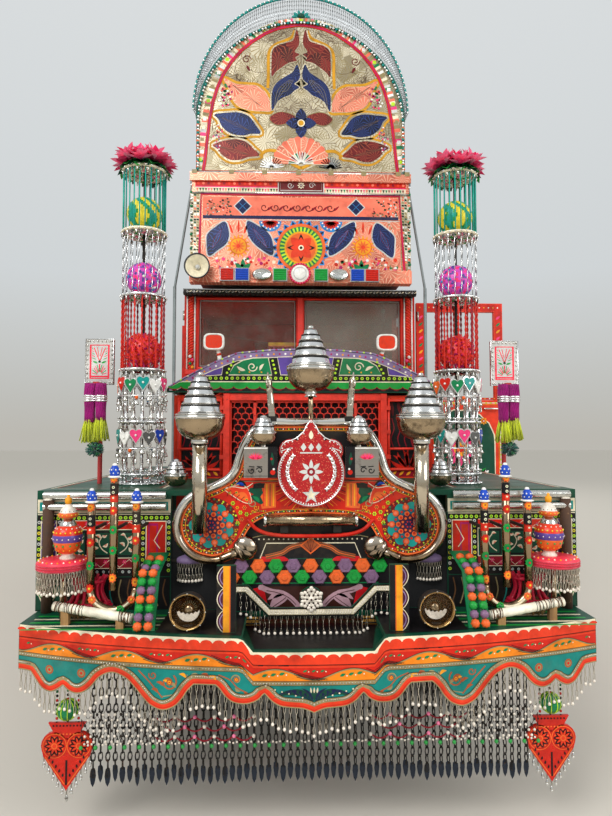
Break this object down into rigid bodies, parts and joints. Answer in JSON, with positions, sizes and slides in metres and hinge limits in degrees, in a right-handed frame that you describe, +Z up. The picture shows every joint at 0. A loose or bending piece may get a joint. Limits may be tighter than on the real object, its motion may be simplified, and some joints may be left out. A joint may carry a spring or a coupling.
{
  "type": "decorated truck",
  "caption": "Two-axle bonneted cargo truck, painted and hung with folk ornament, with a tall arched panel above its cab; wheels, steering, doors, bonnet and tailgate move.",
  "frame": {"origin": "on the ground, midway between the front wheels", "axes": "+X to the truck's left, -Y forward, +Y rearward along its length, +Z up"},
  "size_m": [3.005, 8.495, 5.2598],
  "materials": {
    "chassis_paint": "worn",
    "machined_steel": "dull",
    "tyre_rubber": "matt",
    "rim_paint": "gloss",
    "ornament_chrome": "polished",
    "bumper_paint": "gloss",
    "wing_paint": "gloss",
    "nose_paint": "gloss",
    "grille_mesh": "satin",
    "bull_black": "gloss",
    "shield_red": "glitter",
    "apron_green": "gloss",
    "reflector_plastic": "gloss",
    "tube_paint": "gloss",
    "bead_plastic": "gloss",
    "tower_plastic": "gloss",
    "sign_paint": "gloss",
    "tassel_thread": "soft",
    "pendant_plastic": "gloss",
    "cab_paint": "gloss",
    "window_glass": "clear",
    "visor_black": "gloss",
    "trim_cloth": "buttoned",
    "dash_wood": "varnished",
    "door_wood": "painted",
    "panel_mosaic": "mosaic of foil",
    "crown_paint": "gloss",
    "lamp_plastic": "clear",
    "bonnet_paint": "gloss",
    "bed_planks": "worn",
    "body_paint": "gloss",
    "flap_rubber": "matt"
  },
  "bodies": {
    "chassis": {"frame_rails": "chassis_paint", "front_axle": "chassis_paint", "rear_axle": "chassis_paint", "leaf_springs": "machined_steel", "engine_block": "machined_steel", "propshaft": "machined_steel", "fuel_tank": "chassis_paint", "front_bumper": "bumper_paint", "wing_left": "wing_paint", "wing_right": "wing_paint", "wing_rails": "ornament_chrome", "nose_shell": "nose_paint", "grille_lattice": "grille_mesh", "bull_panel": "bull_black", "bull_tube": "ornament_chrome", "shield": "shield_red", "dome_lamps": "ornament_chrome", "headlamps": "ornament_chrome", "centre_apron": "apron_green", "hex_reflectors": "reflector_plastic", "flower_tubes": "tube_paint", "bead_pads": "bead_plastic", "urns": "ornament_chrome", "tower_left": "tower_plastic", "tower_right": "tower_plastic", "sign_boards": "sign_paint", "tassels": "tassel_thread", "bell_fringe": "ornament_chrome", "chain_curtain": "ornament_chrome", "heart_pendants": "pendant_plastic", "cab_body": "cab_paint", "windscreen_glass": "window_glass", "sun_visor": "visor_black", "bench_seat": "trim_cloth", "dashboard": "dash_wood", "crown_lower": "crown_paint", "crown_arch": "panel_mosaic", "crown_lace": "ornament_chrome", "crown_frame": "crown_paint", "roof_lamps": "lamp_plastic", "mirrors": "tube_paint", "cargo_floor": "bed_planks", "cargo_walls": "body_paint", "rear_bumper": "chassis_paint", "side_skirts": "flap_rubber"},
    "wheel_front_left": {"tyre_front_left": "tyre_rubber", "rim_front_left": "rim_paint"},
    "wheel_front_right": {"tyre_front_right": "tyre_rubber", "rim_front_right": "rim_paint"},
    "wheels_rear_left": {"tyres_rear_left": "tyre_rubber", "rims_rear_left": "rim_paint"},
    "wheels_rear_right": {"tyres_rear_right": "tyre_rubber", "rims_rear_right": "rim_paint"},
    "steering_left": {"knuckle_left": "chassis_paint"},
    "steering_right": {"knuckle_right": "chassis_paint"},
    "bonnet_lid": {"bonnet": "bonnet_paint"},
    "left_door": {"door_left": "door_wood"},
    "right_door": {"door_right": "door_wood"},
    "drop_gate": {"tailgate": "body_paint"}
  },
  "joints": [
    {"name": "steer_left", "type": "hinge", "parent": "chassis", "child": "steering_left", "pos_m": [0.85, 0, 0.5], "axis": [0, 0, 1], "range_deg": [-32, 32]},
    {"name": "steer_right", "type": "hinge", "parent": "chassis", "child": "steering_right", "pos_m": [-0.85, 0, 0.5], "axis": [0, 0, 1], "range_deg": [-32, 32]},
    {"name": "roll_front_left", "type": "hinge", "parent": "steering_left", "child": "wheel_front_left", "pos_m": [0.965, 0, 0.5], "axis": [1, 0, 0], "continuous": true},
    {"name": "roll_front_right", "type": "hinge", "parent": "steering_right", "child": "wheel_front_right", "pos_m": [-0.965, 0, 0.5], "axis": [1, 0, 0], "continuous": true},
    {"name": "roll_rear_left", "type": "hinge", "parent": "chassis", "child": "wheels_rear_left", "pos_m": [0.95, 4.24, 0.5], "axis": [1, 0, 0], "continuous": true},
    {"name": "roll_rear_right", "type": "hinge", "parent": "chassis", "child": "wheels_rear_right", "pos_m": [-0.95, 4.24, 0.5], "axis": [1, 0, 0], "continuous": true},
    {"name": "bonnet_hinge", "type": "hinge", "parent": "chassis", "child": "bonnet_lid", "pos_m": [0, 0.6, 2.062], "axis": [-1, 0, 0], "range_deg": [0, 40]},
    {"name": "left_door_hinge", "type": "hinge", "parent": "chassis", "child": "left_door", "pos_m": [0.995, 0.955, 1.97], "axis": [0, 0, 1], "range_deg": [0, 90]},
    {"name": "right_door_hinge", "type": "hinge", "parent": "chassis", "child": "right_door", "pos_m": [-0.995, 0.955, 1.97], "axis": [0, 0, 1], "range_deg": [0, 90]},
    {"name": "gate_hinge", "type": "hinge", "parent": "chassis", "child": "drop_gate", "pos_m": [0, 6.795, 1.155], "axis": [-1, 0, 0], "range_deg": [0, 90]}
  ],
  "couplings": [
    {"joint": "steer_right", "follows": "steer_left", "ratio": 1}
  ]
}
